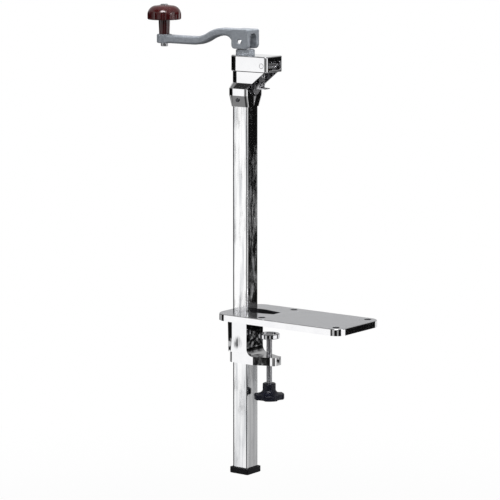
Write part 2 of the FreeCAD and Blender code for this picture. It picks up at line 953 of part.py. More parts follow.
def make_spindle_bush():
    """Flanged plain bearing in the floor of the head's box."""
    body = new_body("spindle_bush")
    inner = size.spindle_journal / 2 + size.running_gap
    outer = size.bush_outer / 2
    draw_turned(body, [
        (inner, Level.bush_bottom),
        (size.bush_flange / 2, Level.bush_bottom),
        (size.bush_flange / 2, Level.box_bottom),
        (outer, Level.box_bottom),
        (outer, Level.box_floor),
        (inner, Level.box_floor),
    ])
    return body


def make_spindle():
    """Turned shaft with two flats and a rounded tongue that the crank hinges on."""
    body = new_body("spindle")
    upper = size.spindle_upper / 2
    journal = size.spindle_journal / 2
    stub = size.spindle_stub / 2
    shoulder = Level.box_floor + size.running_gap
    foot = Level.wheel_bottom - size.washer_thickness - size.nut_height - size.stub_proud
    tongue_top = Level.crank_axis + upper
    draw_turned(body, [
        (0, foot),
        (stub, foot),
        (stub, Level.hub_top),
        (journal, Level.hub_top),
        (journal, shoulder),
        (upper, shoulder),
        (upper, tongue_top),
        (0, tongue_top),
    ])
    flats = add_sketch(body, "XY_Plane", Level.crank_axis - size.spindle_upper - PAST)
    flat = size.hub_slot / 2 - size.tongue_gap
    reach = size.spindle_upper
    draw_rectangle(flats, (-reach, flat), (reach, reach))
    draw_rectangle(flats, (-reach, -reach), (reach, -flat))
    add_pocket(body, flats, 2 * (size.spindle_upper + PAST), reverse=True)
    crown = add_sketch(body, "XZ_Plane")
    above = tongue_top + PAST
    aside = upper + PAST
    draw_outline(crown, [
        (upper, Level.crank_axis),
        (0, tongue_top, upper, 1),
        (-upper, Level.crank_axis, upper, 1),
        (-aside, Level.crank_axis),
        (-aside, above),
        (aside, above),
        (aside, Level.crank_axis),
    ])
    add_pocket(body, crown, size.spindle_upper + PAST, midplane=True)
    hinge = add_sketch(body, "XZ_Plane")
    draw_circle(hinge, (0, Level.crank_axis), size.crank_pin + 2 * size.running_gap)
    add_pocket(body, hinge, size.spindle_upper + PAST, midplane=True)
    return body


def make_drive_wheel():
    """Toothed wheel with a long hub that turns the can by its rim."""
    body = new_body("drive_wheel")
    outer = size.wheel_diameter / 2
    bore = size.spindle_stub / 2 + size.seat_gap
    draw_turned(body, [
        (bore, Level.wheel_bottom),
        (outer - size.wheel_bevel, Level.wheel_bottom),
        (outer, Level.wheel_bottom + size.wheel_bevel),
        (outer, Level.wheel_top),
        (size.wheel_hub / 2, Level.wheel_top),
        (size.wheel_hub / 2, Level.hub_top),
        (bore, Level.hub_top),
    ])
    space = add_sketch(body, "XY_Plane", Level.wheel_bottom - PAST)
    root = outer - size.tooth_depth
    half_space = size.wheel_diameter * size.tooth_space * (math.pi / 2) / size.wheel_teeth
    draw_outline(space, [
        (root, 0),
        (outer + size.face_gap, -half_space),
        (outer + PAST, -half_space),
        (outer + PAST, half_space),
        (outer + size.face_gap, half_space),
    ])
    cut = add_pocket(body, space, size.wheel_thickness + 2 * PAST, reverse=True)
    repeat_round(body, cut, space, size.wheel_teeth)
    return body


def make_wheel_washer():
    """Flat washer between the wheel and its nut."""
    body = new_body("wheel_washer")
    ring = add_sketch(body, "XY_Plane", Level.wheel_bottom)
    draw_circle(ring, (0, 0), size.nut_across + 2 * size.washer_overhang)
    draw_circle(ring, (0, 0), size.spindle_stub + 4 * size.seat_gap)
    add_pad(body, ring, size.washer_thickness, reverse=True)
    return body


def make_wheel_nut():
    """Hexagon nut on the spindle's threaded end."""
    body = new_body("wheel_nut")
    across = size.nut_across / 2
    slant = size.nut_across / math.sqrt(3)
    hexagon = add_sketch(body, "XY_Plane", Level.wheel_bottom - size.washer_thickness)
    draw_outline(hexagon, [
        (slant, 0),
        (slant / 2, across),
        (-slant / 2, across),
        (-slant, 0),
        (-slant / 2, -across),
        (slant / 2, -across),
    ])
    draw_circle(hexagon, (0, 0), size.spindle_stub + 2 * size.seat_gap)
    add_pad(body, hexagon, size.nut_height, reverse=True)
    return body


def make_collar_sleeve():
    """Sliding sleeve that the crank's hub pushes down when the crank is raised."""
    body = new_body("collar_sleeve")
    inner = size.spindle_upper / 2 + size.running_gap * 2
    outer = size.sleeve_diameter / 2
    edge = size.sleeve_edge
    draw_turned(body, [
        (inner, Level.sleeve_bottom),
        (outer, Level.sleeve_bottom),
        (outer, Level.sleeve_top - edge),
        (outer - edge, Level.sleeve_top),
        (inner, Level.sleeve_top),
    ])
    return body


# Blade group


def make_blade_lever():
    """Bent lever on the cross pin: one arm under the sleeve, the other holds the blade."""
    body = new_body("blade_lever")
    axis_x = size.lever_pin_x
    axis_z = Level.lever_axis
    arm_top = Level.sleeve_bottom - size.face_gap
    arm_bottom = arm_top - size.lever_arm_height
    boss = size.lever_boss / 2
    toe_top = Level.lever_bottom + size.lever_toe_height
    profile = add_sketch(body, "XZ_Plane")
    draw_outline(profile, [
        (size.lever_tip, arm_bottom),
        (Level.lever_back + size.lever_elbow / 2, arm_bottom - size.lever_elbow),
        (Level.lever_back, arm_bottom - size.lever_elbow_drop),
        (Level.lever_back, Level.lever_bottom),
        (size.lever_toe, Level.lever_bottom),
        (size.lever_toe, toe_top),
        (Level.lever_front, toe_top + size.lever_toe_slope),
        (Level.lever_front, axis_z - size.lever_throat),
        (axis_x, axis_z - boss),
        (axis_x, axis_z + boss, boss, 1),
        (Level.lever_front, arm_top),
        (size.lever_tip, arm_top),
    ])
    add_pad(body, profile, size.lever_width, midplane=True)
    tube = add_sketch(body, "XZ_Plane")
    draw_circle(tube, (axis_x, axis_z), size.lever_boss)
    tube_width = size.lever_width + 2 * size.lever_tube_side
    add_pad(body, tube, tube_width, midplane=True)
    holes = add_sketch(body, "XZ_Plane")
    draw_circle(holes, (axis_x, axis_z), size.lever_pin + 2 * size.running_gap)
    add_pocket(body, holes, tube_width + 2 * PAST, midplane=True)
    threads = add_sketch(body, "YZ_Plane", Level.lever_back - PAST)
    for rise in (size.blade_screw_lower, size.blade_screw_upper):
        draw_circle(threads, (0, Level.chamber_floor + rise), size.blade_screw + 2 * size.seat_gap)
    add_pocket(body, threads, size.lever_thickness + 2 * PAST, reverse=True)
    return body


def make_cutting_blade():
    """Flat blade with a pointed, bevelled foot behind the can's rim."""
    body = new_body("cutting_blade")
    half = size.blade_width / 2
    top = Level.blade_bottom + size.blade_length
    plate = add_sketch(body, "YZ_Plane", Level.blade_back)
    draw_outline(plate, [
        (-half, Level.blade_bottom + size.blade_back_rise),
        (-size.blade_point_back, Level.blade_bottom),
        (size.blade_point_front, Level.blade_bottom + size.blade_point_rise),
        (half, Level.blade_bottom + size.blade_front_rise),
        (half, top),
        (-half, top),
    ])
    for rise in (size.blade_screw_lower, size.blade_screw_upper):
        draw_circle(plate, (0, Level.chamber_floor + rise), size.blade_screw + 2 * size.seat_gap)
    add_pad(body, plate, size.blade_thickness)
    bevel = add_sketch(body, "XZ_Plane")
    front = Level.lever_back + size.running_gap
    foot = Level.blade_bottom - size.running_gap
    draw_outline(bevel, [
        (front, Level.blade_bottom + size.blade_bevel_height),
        (Level.blade_back + size.blade_edge, foot),
        (front, foot),
    ])
    add_pocket(body, bevel, size.blade_width + 2 * PAST, midplane=True)
    return body


def make_blade_screws():
    """Two alike cap screws through the lever into the blade, as one shape."""
    pieces = []
    head_height = size.blade_screw_head_height
    for place in ("lower", "upper"):
        rise = getattr(size, f"blade_screw_{place}") + Level.chamber_floor
        head = doc.addObject("Part::Cylinder", f"{place}_screw_head")
        shank = doc.addObject("Part::Cylinder", f"{place}_screw_shank")
        for piece, diameter, length, start in (
            (head, size.blade_screw_head, head_height, Level.lever_front),
            (shank, size.blade_screw, Level.lever_front - Level.blade_back + PAST, Level.blade_back),
        ):
            bind(piece, "Radius", diameter / 2)
            bind(piece, "Height", length)
            piece.Placement.Rotation = FreeCAD.Rotation(FreeCAD.Vector(0, 1, 0), 90)
            bind(piece, "Placement.Base.x", start)
            bind(piece, "Placement.Base.z", rise)
            pieces.append(piece)
    screws = doc.addObject("Part::MultiFuse", "blade_screws")
    screws.Label = "blade_screws"
    screws.Shapes = pieces
    return screws


def make_lever_spring():
    """Torsion spring round the cross pin that swings the blade to the wheel."""
    spring = doc.addObject("Part::Feature", "lever_spring")
    spring.Label = "lever_spring"
    wire = size.spring_wire.number
    turns = size.spring_turns.number
    coil_radius = size.lever_pin.number / 2 + size.face_gap.number + wire / 2
    pitch = wire * size.spring_pitch.number
    coil = Part.makeHelix(pitch, pitch * turns, coil_radius)
    section = Part.Wire(Part.makeCircle(
        wire / 2,
        FreeCAD.Vector(coil_radius, 0, 0),
        FreeCAD.Vector(0, 1, pitch / (2 * math.pi * coil_radius)),
    ))
    spring.Shape = Part.Wire(coil).makePipeShell([section], True, True)
    tube_half = size.lever_width.number / 2 + size.lever_tube_side.number
    across = tube_half + size.face_gap.number + wire / 2
    spring.Placement = FreeCAD.Placement(
        FreeCAD.Vector(size.lever_pin_x.number, across + pitch * turns, Level.lever_axis.number),
        FreeCAD.Rotation(FreeCAD.Vector(1, 0, 0), 90),
    )
    return spring


def make_lever_pin():
    """Cross pin in the head's side walls that the lever swings on."""
    body = new_body("lever_pin")
    disc = add_sketch(body, "XZ_Plane")
    draw_circle(disc, (0, 0), size.lever_pin)
    add_pad(body, disc, size.head_width, midplane=True)
    place_body(body, x=size.lever_pin_x, z=Level.lever_axis)
    return body


# Crank and grip


def s_bend_radius(run, rise):
    """Radius of two equal arcs that join two level lines."""
    return (run * run + rise * rise) / (4 * rise)


def make_crank_arm():
    """Cast crank: forked hub with a cam corner, bent arm and a boss for the grip."""
    body = new_body("crank_arm")
    axis = Level.crank_axis
    low_top = axis + size.arm_low_top
    low_bottom = axis - size.arm_low_bottom
    high_bottom = axis + size.arm_high_bottom
    hub_top = axis + size.hub_above
    start = -size.arm_bend_start
    top_end = -size.arm_bend_end
    under_end = top_end + size.arm_under_offset
    root = size.arm_root
    top_rise = hub_top - low_top
    under_rise = high_bottom - low_bottom
    top_radius = s_bend_radius(top_end - start, top_rise)
    under_radius = s_bend_radius(under_end - start, under_rise)
    under_middle = ((start + under_end) / 2, (low_bottom + high_bottom) / 2)
    top_middle = ((start + top_end) / 2, (low_top + hub_top) / 2)
    profile = add_sketch(body, "XZ_Plane")
    draw_outline(profile, [
        (-size.crank_radius, low_top),
        (-size.crank_radius, low_bottom),
        (start, low_bottom),
        (under_middle[0], under_middle[1], under_radius, 1),
        (under_end, high_bottom, under_radius, -1),
        (under_end + root, high_bottom - root, root, -1),
        (-size.hub_slot_back - PAST, high_bottom - root),
        (-size.hub_slot_back - PAST, hub_top),
        (top_end, hub_top),
        (top_middle[0], top_middle[1], top_radius, 1),
        (start, low_top, top_radius, -1),
    ])
    add_pad(body, profile, size.arm_width, midplane=True)

    def arm_edge(edge, middle, ends):
        on_side = near(abs(middle.y), size.arm_width / 2)
        return on_side and middle.x < -size.hub_back.number - PAST

    add_fillet(body, arm_edge, size.arm_edge)

    boss = add_sketch(body, "XY_Plane", Level.boss_bottom)
    draw_circle(boss, (-size.crank_radius, 0), size.boss_diameter)
    add_pad(body, boss, Level.boss_top - Level.boss_bottom)

    def boss_rim(edge, middle, ends):
        is_rim = near(middle.z, Level.boss_top) or near(middle.z, Level.boss_bottom)
        return is_rim and isinstance(edge.Curve, Part.Circle)

    add_fillet(body, boss_rim, size.boss_edge)

    hub = add_sketch(body, "XZ_Plane")
    draw_rectangle(
        hub,
        (-size.hub_back, Level.crank_bottom),
        (size.hub_front, hub_top),
        (size.hub_corner, size.hub_cam, size.hub_top_corner, size.hub_top_corner),
    )
    add_pad(body, hub, size.hub_width, midplane=True)

    def hub_side(edge, middle, ends):
        return near(abs(middle.y), size.hub_width / 2)

    add_fillet(body, hub_side, size.hub_edge)

    slot = add_sketch(body, "YZ_Plane", -size.hub_slot_back)
    slot_half = size.hub_slot / 2
    draw_rectangle(
        slot,
        (-slot_half, Level.crank_bottom - PAST),
        (slot_half, axis + size.hub_slot_above),
        (0, 0, size.hub_slot_corner, size.hub_slot_corner),
    )
    add_pocket(body, slot, size.hub_slot_back + size.hub_front + PAST, reverse=True)

    hinge = add_sketch(body, "XZ_Plane")
    draw_circle(hinge, (0, axis), size.crank_pin + 2 * size.seat_gap)
    add_pocket(body, hinge, size.hub_width + 2 * PAST, midplane=True)

    def hinge_mouth(edge, middle, ends):
        at_axis = isinstance(edge.Curve, Part.Circle) and near(edge.Curve.Center.z, axis)
        return at_axis and near(abs(middle.y), size.hub_width / 2)

    add_chamfer(body, hinge_mouth, size.hinge_bevel)

    stud_hole = add_sketch(body, "XY_Plane", Level.boss_bottom - PAST)
    draw_circle(stud_hole, (-size.crank_radius, 0), size.stud_diameter + 2 * size.seat_gap)
    add_pocket(body, stud_hole, Level.boss_top - Level.boss_bottom + 2 * PAST, reverse=True)
    return body


def make_crank_pin():
    """Plain pin through the crank's fork and the spindle's tongue."""
    body = new_body("crank_pin")
    disc = add_sketch(body, "XZ_Plane")
    draw_circle(disc, (0, 0), size.crank_pin)
    add_pad(body, disc, size.hub_width - 2 * size.crank_pin_recess, midplane=True)

    def pin_end(edge, middle, ends):
        return near(abs(middle.y), size.hub_width / 2 - size.crank_pin_recess)

    add_chamfer(body, pin_end, size.pin_bevel)
    place_body(body, z=Level.crank_axis)
    return body


def make_knob_stud():
    """Shouldered stud, riveted under the boss, that the grip turns on."""
    body = new_body("knob_stud")
    head = size.stud_head / 2
    shank = size.stud_diameter / 2
    head_seat = Level.grip_top - size.stud_recess + size.face_gap
    head_top = Level.grip_top + size.stud_proud
    bevel = size.stud_bevel
    draw_turned(body, [
        (0, Level.boss_bottom - size.stud_rivet_height),
        (head - bevel, Level.boss_bottom - size.stud_rivet_height),
        (head, Level.boss_bottom - size.stud_rivet_height + bevel),
        (head, Level.boss_bottom),
        (shank, Level.boss_bottom),
        (shank, head_seat),
        (head, head_seat),
        (head, head_top - bevel),
        (head - bevel, head_top),
        (0, head_top),
    ])
    place_body(body, x=-size.crank_radius)
    return body


def make_grip_knob():
    """Mushroom grip with shallow flutes round its dome."""
    body = new_body("grip_knob")
    bore = size.stud_diameter / 2 + size.running_gap
    recess = size.stud_head / 2 + size.face_gap
    outer = size.grip_diameter / 2
    neck = size.grip_neck / 2
    shoulder = size.grip_shoulder
    crown = outer - shoulder
    crown_rise = size.grip_crown_rise
    crown_radius = (crown * crown + crown_rise * crown_rise) / (2 * crown_rise)
    side_low = Level.grip_shoulder + size.grip_lip
    side_high = Level.grip_top - crown_rise - shoulder
    profile = add_sketch(body, "XZ_Plane")
    draw_outline(profile, [
        (bore, Level.grip_bottom),
        (size.grip_neck_foot / 2, Level.grip_bottom),
        (neck, Level.grip_shoulder),
        (outer - size.grip_lip, Level.grip_shoulder),
        (outer, side_low, size.grip_lip, 1),
        (outer, side_high),
        (crown, Level.grip_top - crown_rise, shoulder, 1),
        (recess, Level.grip_top),
        (recess, Level.grip_top - size.stud_recess),
        (bore, Level.grip_top - size.stud_recess),
    ])
    add_revolution(body, profile)
    groove = add_sketch(body, "XY_Plane", Level.grip_shoulder - PAST)
    groove_middle = outer + size.grip_flute_radius - size.grip_flute_depth
    draw_circle(groove, (0, -groove_middle), 2 * size.grip_flute_radius)
    cut = add_pocket(body, groove, size.grip_dome + 2 * PAST, reverse=True)
    repeat_round(body, cut, groove, size.grip_flutes)
    place_body(body, x=-size.crank_radius)
    return body


# Clamp


def make_clamp_pad():
    """Round pad with a dished top that presses the plate onto the table."""
    body = new_body("clamp_pad")
    outer = size.pad_diameter / 2
    edge = size.pad_edge
    draw_turned(body, [
        (size.pad_neck / 2 + size.running_gap, Level.pad_bottom),
        (outer - edge, Level.pad_bottom),
        (outer, Level.pad_bottom + edge),
        (outer, Level.pad_top - edge),
        (outer - edge, Level.pad_top),
        (size.pad_recess / 2 + edge, Level.pad_top),
        (size.pad_recess / 2, Level.pad_top - size.pad_recess_depth),
        (size.pad_neck / 2 + size.running_gap, Level.pad_top - size.pad_recess_depth),
    ])
    place_body(body, x=size.clamp_offset)
    return body


def make_clamp_screw():
    """Threaded spindle whose peened neck carries the pad."""
    body = new_body("clamp_screw")
    neck = size.pad_neck / 2
    rod = size.clamp_thread / 2
    head = size.pad_head / 2
    recess_floor = Level.pad_top - size.pad_recess_depth
    head_top = Level.pad_top - size.pad_head_drop
    foot = Level.knob_top - size.knob_socket + size.face_gap
    draw_turned(body, [
        (0, foot),
        (rod, foot),
        (rod, Level.pad_bottom - size.running_gap),
        (neck, Level.pad_bottom - size.running_gap),
        (neck, recess_floor + size.running_gap),
        (head, recess_floor + size.running_gap),
        (head - size.pad_head_taper, head_top),
        (0, head_top),
    ])
    place_body(body, x=size.clamp_offset)
    return body


def make_clamp_knob():
    """Moulded knob: round neck that flares into four broad lobes."""
    body = new_body("clamp_knob")
    bore = size.clamp_thread / 2 + size.seat_gap
    outer = size.knob_span / 2
    neck = size.knob_neck / 2
    rim_top = Level.knob_bottom + size.knob_rim
    edge = size.knob_edge
    profile = add_sketch(body, "XZ_Plane")
    draw_outline(profile, [
        (0, Level.knob_bottom),
        (outer - edge, Level.knob_bottom),
        (outer, Level.knob_bottom + edge, edge, 1),
        (outer, rim_top - edge),
        (outer - edge, rim_top, edge, 1),
        (neck, Level.knob_top - size.knob_neck_height, size.knob_flare, -1),
        (neck, Level.knob_top - edge),
        (neck - edge, Level.knob_top, edge, 1),
        (bore, Level.knob_top),
        (bore, Level.knob_top - size.knob_socket),
        (0, Level.knob_top - size.knob_socket),
    ])
    add_revolution(body, profile)
    scallop = add_sketch(body, "XY_Plane", Level.knob_bottom - PAST)
    draw_circle(scallop, (size.knob_scallop_offset, 0), size.knob_scallop)
    cut = add_pocket(body, scallop, size.knob_height, reverse=True)
    repeat_round(body, cut, scallop, size.knob_lobes)
    place_body(body, x=size.clamp_offset)
    return body


def finish():
    """Checks every object and writes one file for each sub-part."""
    doc.recompute()
    faults = []
    for item in doc.Objects:
        if "Invalid" in item.State or "Error" in item.State:
            faults.append(item.Name)
    for part in SUB_PARTS:
        if part.Shape.isNull() or not part.Shape.isValid():
            faults.append(part.Label)
    if faults:
        raise RuntimeError(f"failed: {faults}")
    os.makedirs("parts", exist_ok=True)
    for part in SUB_PARTS:
        part.Shape.exportStep(os.path.join("parts", f"{part.Label}.step"))
        box = part.Shape.BoundBox
        print(part.Label, len(part.Shape.Solids), round(part.Shape.Volume), box)


SUB_PARTS = [
    make_base_casting(),
    make_friction_spring(),
    make_column_bar(),
    make_foot_cap(),
    make_column_pin(),
    make_head_casting(),
    make_spindle_bush(),
    make_spindle(),
    make_drive_wheel(),
    make_wheel_washer(),
    make_wheel_nut(),
    make_collar_sleeve(),
    make_blade_lever(),
    make_cutting_blade(),
    make_blade_screws(),
    make_lever_pin(),
    make_lever_spring(),
    make_crank_arm(),
    make_crank_pin(),
    make_knob_stud(),
    make_grip_knob(),
    make_clamp_pad(),
    make_clamp_screw(),
    make_clamp_knob(),
]
finish()
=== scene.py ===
import json
import math

import bmesh
import bpy
from mathutils import Matrix, Vector


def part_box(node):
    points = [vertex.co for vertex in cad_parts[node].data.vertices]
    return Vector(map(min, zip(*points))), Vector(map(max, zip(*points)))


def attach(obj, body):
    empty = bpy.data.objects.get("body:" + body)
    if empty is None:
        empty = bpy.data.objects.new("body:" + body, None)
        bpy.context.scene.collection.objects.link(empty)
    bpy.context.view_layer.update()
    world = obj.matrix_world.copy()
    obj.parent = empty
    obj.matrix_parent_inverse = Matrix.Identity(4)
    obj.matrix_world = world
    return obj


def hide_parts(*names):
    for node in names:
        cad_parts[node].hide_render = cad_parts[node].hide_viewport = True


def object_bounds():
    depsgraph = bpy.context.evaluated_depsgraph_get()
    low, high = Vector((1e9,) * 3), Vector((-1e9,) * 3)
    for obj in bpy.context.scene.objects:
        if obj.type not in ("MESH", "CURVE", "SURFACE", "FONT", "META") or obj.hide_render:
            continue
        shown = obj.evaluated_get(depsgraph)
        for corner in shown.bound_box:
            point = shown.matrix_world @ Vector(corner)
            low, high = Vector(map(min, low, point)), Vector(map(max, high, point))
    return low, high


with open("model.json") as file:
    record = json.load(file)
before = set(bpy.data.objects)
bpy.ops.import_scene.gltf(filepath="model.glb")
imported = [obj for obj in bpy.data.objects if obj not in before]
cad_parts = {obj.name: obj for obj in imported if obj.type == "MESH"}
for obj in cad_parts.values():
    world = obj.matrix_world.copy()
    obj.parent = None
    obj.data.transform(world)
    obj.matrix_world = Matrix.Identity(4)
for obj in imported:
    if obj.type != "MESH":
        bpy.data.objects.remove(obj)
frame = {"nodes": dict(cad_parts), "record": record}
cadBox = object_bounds()

# Camera at the photograph's place
camera = {
    "place": (2.1398, -2.8426, 0.6512),
    "target": (0.0, 0.0, 0.0915),
    "lens": 190.0,
    "shiftX": 0.0093,
    "clipStart": 0.1,
    "clipEnd": 50,
}


def makeCamera():
    data = bpy.data.cameras.new("photoCamera")
    data.lens = camera["lens"]
    data.shift_x = camera["shiftX"]
    data.clip_start = camera["clipStart"]
    data.clip_end = camera["clipEnd"]
    eye = bpy.data.objects.new("photoCamera", data)
    bpy.context.scene.collection.objects.link(eye)
    eye.location = camera["place"]
    sight = Vector(camera["target"]) - Vector(camera["place"])
    eye.rotation_euler = sight.to_track_quat("-Z", "Y").to_euler()
    bpy.context.scene.camera = eye


makeCamera()
print("camera placed")


# Shader sockets that work in plain Python sums
class Wire:
    def __init__(self, tree, socket):
        self.tree = tree
        self.socket = socket

    def sum(self, operation, first, second=0.0):
        node = self.tree.nodes.new("ShaderNodeMath")
        node.operation = operation
        for place, value in enumerate((first, second)):
            if isinstance(value, Wire):
                self.tree.links.new(value.socket, node.inputs[place])
            else:
                node.inputs[place].default_value = value
        return Wire(self.tree, node.outputs[0])

    def __add__(self, other):
        return self.sum("ADD", self, other)

    def __sub__(self, other):
        return self.sum("SUBTRACT", self, other)

    def __mul__(self, other):
        return self.sum("MULTIPLY", self, other)

    def __truediv__(self, other):
        return self.sum("DIVIDE", self, other)

    def __radd__(self, other):
        return self.sum("ADD", other, self)

    def __rsub__(self, other):
        return self.sum("SUBTRACT", other, self)

    def __rmul__(self, other):
        return self.sum("MULTIPLY", other, self)

    def above(self, limit):
        return self.sum("GREATER_THAN", self, limit)

    def below(self, limit):
        return self.sum("LESS_THAN", self, limit)

    def between(self, low, high):
        return self.above(low) * self.below(high)

    def size(self):
        return self.sum("ABSOLUTE", self)

    def root(self):
        return self.sum("SQRT", self)

    # degrees from the near side (-Y) round towards the plate (+X)
    def bearing(self, across):
        return self.sum("ARCTAN2", self, 0.0 - across) * (180 / math.pi)


class NodeTree:
    def __init__(self, tree):
        self.tree = tree
        tree.nodes.clear()

    # settings are set first; values go to sockets by name or number
    def add(self, kind, settings, values, output=0):
        node = self.tree.nodes.new("ShaderNode" + kind)
        for name, value in settings.items():
            if name == "stops":
                self.fillRamp(node.color_ramp, value)
            else:
                setattr(node, name, value)
        for name, value in values.items():
            if isinstance(value, Wire):
                self.tree.links.new(value.socket, node.inputs[name])
            else:
                node.inputs[name].default_value = value
        if node.outputs:
            return Wire(self.tree, node.outputs[output])

    def fillRamp(self, ramp, stops):
        while len(ramp.elements) < len(stops):
            ramp.elements.new(0.5)
        for element, (place, colour) in zip(ramp.elements, stops):
            element.position = place
            element.color = colour

    # brightness all round, given as degrees and levels up to 1
    def ring(self, angle, stops):
        places = [
            ((degrees + 180) / 360, (level, level, level, 1.0))
            for degrees, level in stops
        ]
        return self.add("ValToRGB", {"stops": places}, {"Fac": (angle + 180) / 360})

    def blend(self, factor, first, second):
        settings = {"data_type": "RGBA"}
        return self.add("Mix", settings, {0: factor, 6: first, 7: second}, 2)

    def fade(self, value, low, high):
        values = {"Value": value, "From Min": low, "From Max": high}
        return self.add("MapRange", {"interpolation_type": "SMOOTHSTEP"}, values)

    def place(self):
        return self.add("TexCoord", {}, {}, "Object")

    def parts(self, vector):
        node = self.add("SeparateXYZ", {}, {"Vector": vector}).socket.node
        return [Wire(self.tree, node.outputs[n]) for n in range(3)]

    def path(self, name):
        return self.add("LightPath", {}, {}, name)

    def noise(self, scale, detail=3.0, stretch=(1, 1, 1), roughness=0.5):
        spot = self.add("Mapping", {}, {"Vector": self.place(), "Scale": stretch})
        values = {"Vector": spot, "Scale": scale, "Detail": detail, "Roughness": roughness}
        return self.add("TexNoise", {}, values)

    def bump(self, height, strength, distance, under=None):
        values = {"Height": height, "Strength": strength, "Distance": distance}
        if under:
            values["Normal"] = under
        return self.add("Bump", {}, values)


def rgb(red, green, blue):
    return (red, green, blue, 1.0)


def newFinish(name):
    finish = bpy.data.materials.new(name)
    finish.use_nodes = True
    return finish, NodeTree(finish.node_tree)


def closeFinish(nodes, values):
    surface = nodes.add("BsdfPrincipled", {}, values)
    nodes.add("OutputMaterial", {}, {"Surface": surface})


# A value that starts at the pair's first number and grows by its second
def grow(pair, mask):
    return pair[0] + mask * pair[1]


def apart(first, second):
    return (first * first + second * second).root()


fineDepth = 0.0001  # metres, for grain and fine lines

# Polished plate over castings, with a satin plate top, and painted shade on the walls of its
# window and screw holes
plated = {
    "dark": rgb(0.82, 0.82, 0.84),
    "light": rgb(0.95, 0.95, 0.955),
    "satinDark": rgb(0.84, 0.85, 0.89),
    "satinLight": rgb(0.93, 0.94, 0.97),
    # colour of the painted shade in the openings and of the painted marks below
    "paintedShade": rgb(0.055, 0.055, 0.060),
    "patchScale": 55,
    "waveScale": 48,
    "pitScale": 900,
    "brushScale": 70,
    "brushStretch": (1, 14, 1),
    "polishRoughness": (0.04, 0.07),
    "satinRoughness": (0.03, 0.14),
    "wallRoughness": 0.45,
    "waveHeight": (0.5, 1.7),
    "waveStrength": 0.22,
    "waveDepth": 0.0012,
    "pitStrength": 0.10,
    "topFacing": 0.9,
    "guideTop": -0.001,
    "topLow": 0.0085,
    "topHigh": 0.0105,
    "windowStart": 0.0120,
    "windowEnd": 0.0545,
    "windowHalf": 0.0152,
    "screwPlaces": (0.0555, 0.1775),
    "screwSide": 0.037,
    "screwRadius": 0.0052,
}
# Painted shade marks on the same plate: a painted shade ring round the lever pin, a painted dark
# reflection on the guide's near face, and painted shade on the guide's inner face
platedShadeMarks = {
    "pinX": 0.0408,
    "pinRadius": 0.0030,
    "pinEdge": 0.00055,
    "headFoot": 0.30,
    "reflectionX": -0.0010,
    "reflectionZ": -0.0345,
    "reflectionRadius": 0.0125,
    "reflectionCore": 0.002,
    "reflectionDepth": 0.95,
    "nearFacing": 0.7,
    "streakScale": 300,
    "streakStretch": (1, 1, 0.12),
    "streakEdges": (0.40, 0.60),
    "streakDepth": (0.35, 0.65),
    "innerEnd": 0.030,
    "innerFacing": (0.5, 0.9),
    "stainAndShadeMottleScale": 120,
    "shadeMottleStretch": (1, 1, 0.45),
    "shadeMottleEdges": (0.34, 0.58),
    "shadeMottleDepth": (0.35, 0.5),
}


# Mask of painted shade on the walls of the plate's window and screw holes
def openingShade(nodes, x, y, z, upward):
    inPlate = z.between(plated["guideTop"], plated["topHigh"])
    window = x.between(plated["windowStart"], plated["windowEnd"])
    window = window * y.size().below(plated["windowHalf"])
    sideways = y.size() - plated["screwSide"]
    holes = 0.0
    for screwPlace in plated["screwPlaces"]:
        holes = apart(x - screwPlace, sideways).below(plated["screwRadius"]) + holes
    return inPlate * (window + holes) * (1 - upward)


def paintedShadeMarks(nodes, x, z, facingX, facingY, guide):
    marks = platedShadeMarks
    pinLow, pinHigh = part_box("lever_pin")
    fromPin = apart(x - marks["pinX"], z - (pinLow.z + pinHigh.z) / 2)
    # painted shade: a dark ring round the lever pin's end
    pinEdge = fromPin.below(marks["pinRadius"] + marks["pinEdge"]) * z.above(marks["headFoot"])
    streaks = nodes.noise(marks["streakScale"], 3, marks["streakStretch"])
    streaks = nodes.fade(streaks, *marks["streakEdges"])
    # painted dark reflection on the guide's near face, broken by vertical streaks
    fromReflection = apart(x - marks["reflectionX"], z - marks["reflectionZ"])
    darkReflection = nodes.fade(fromReflection, marks["reflectionRadius"], marks["reflectionCore"])
    darkReflection = darkReflection * grow(marks["streakDepth"], streaks)
    darkReflection = darkReflection * (0.0 - facingY).above(marks["nearFacing"]) * guide
    # painted shade on the guide's inner face, mottled by noise
    stainsAndShadeMottle = nodes.noise(marks["stainAndShadeMottleScale"], 4, marks["shadeMottleStretch"], 0.6)
    stainsAndShadeMottle = nodes.fade(stainsAndShadeMottle, *marks["shadeMottleEdges"])
    inner = guide * x.below(marks["innerEnd"]) * nodes.fade(facingX, *marks["innerFacing"])
    inner = inner * grow(marks["shadeMottleDepth"], stainsAndShadeMottle)
    return nodes.fade(pinEdge + darkReflection * marks["reflectionDepth"] + inner, 0.0, 1.0)


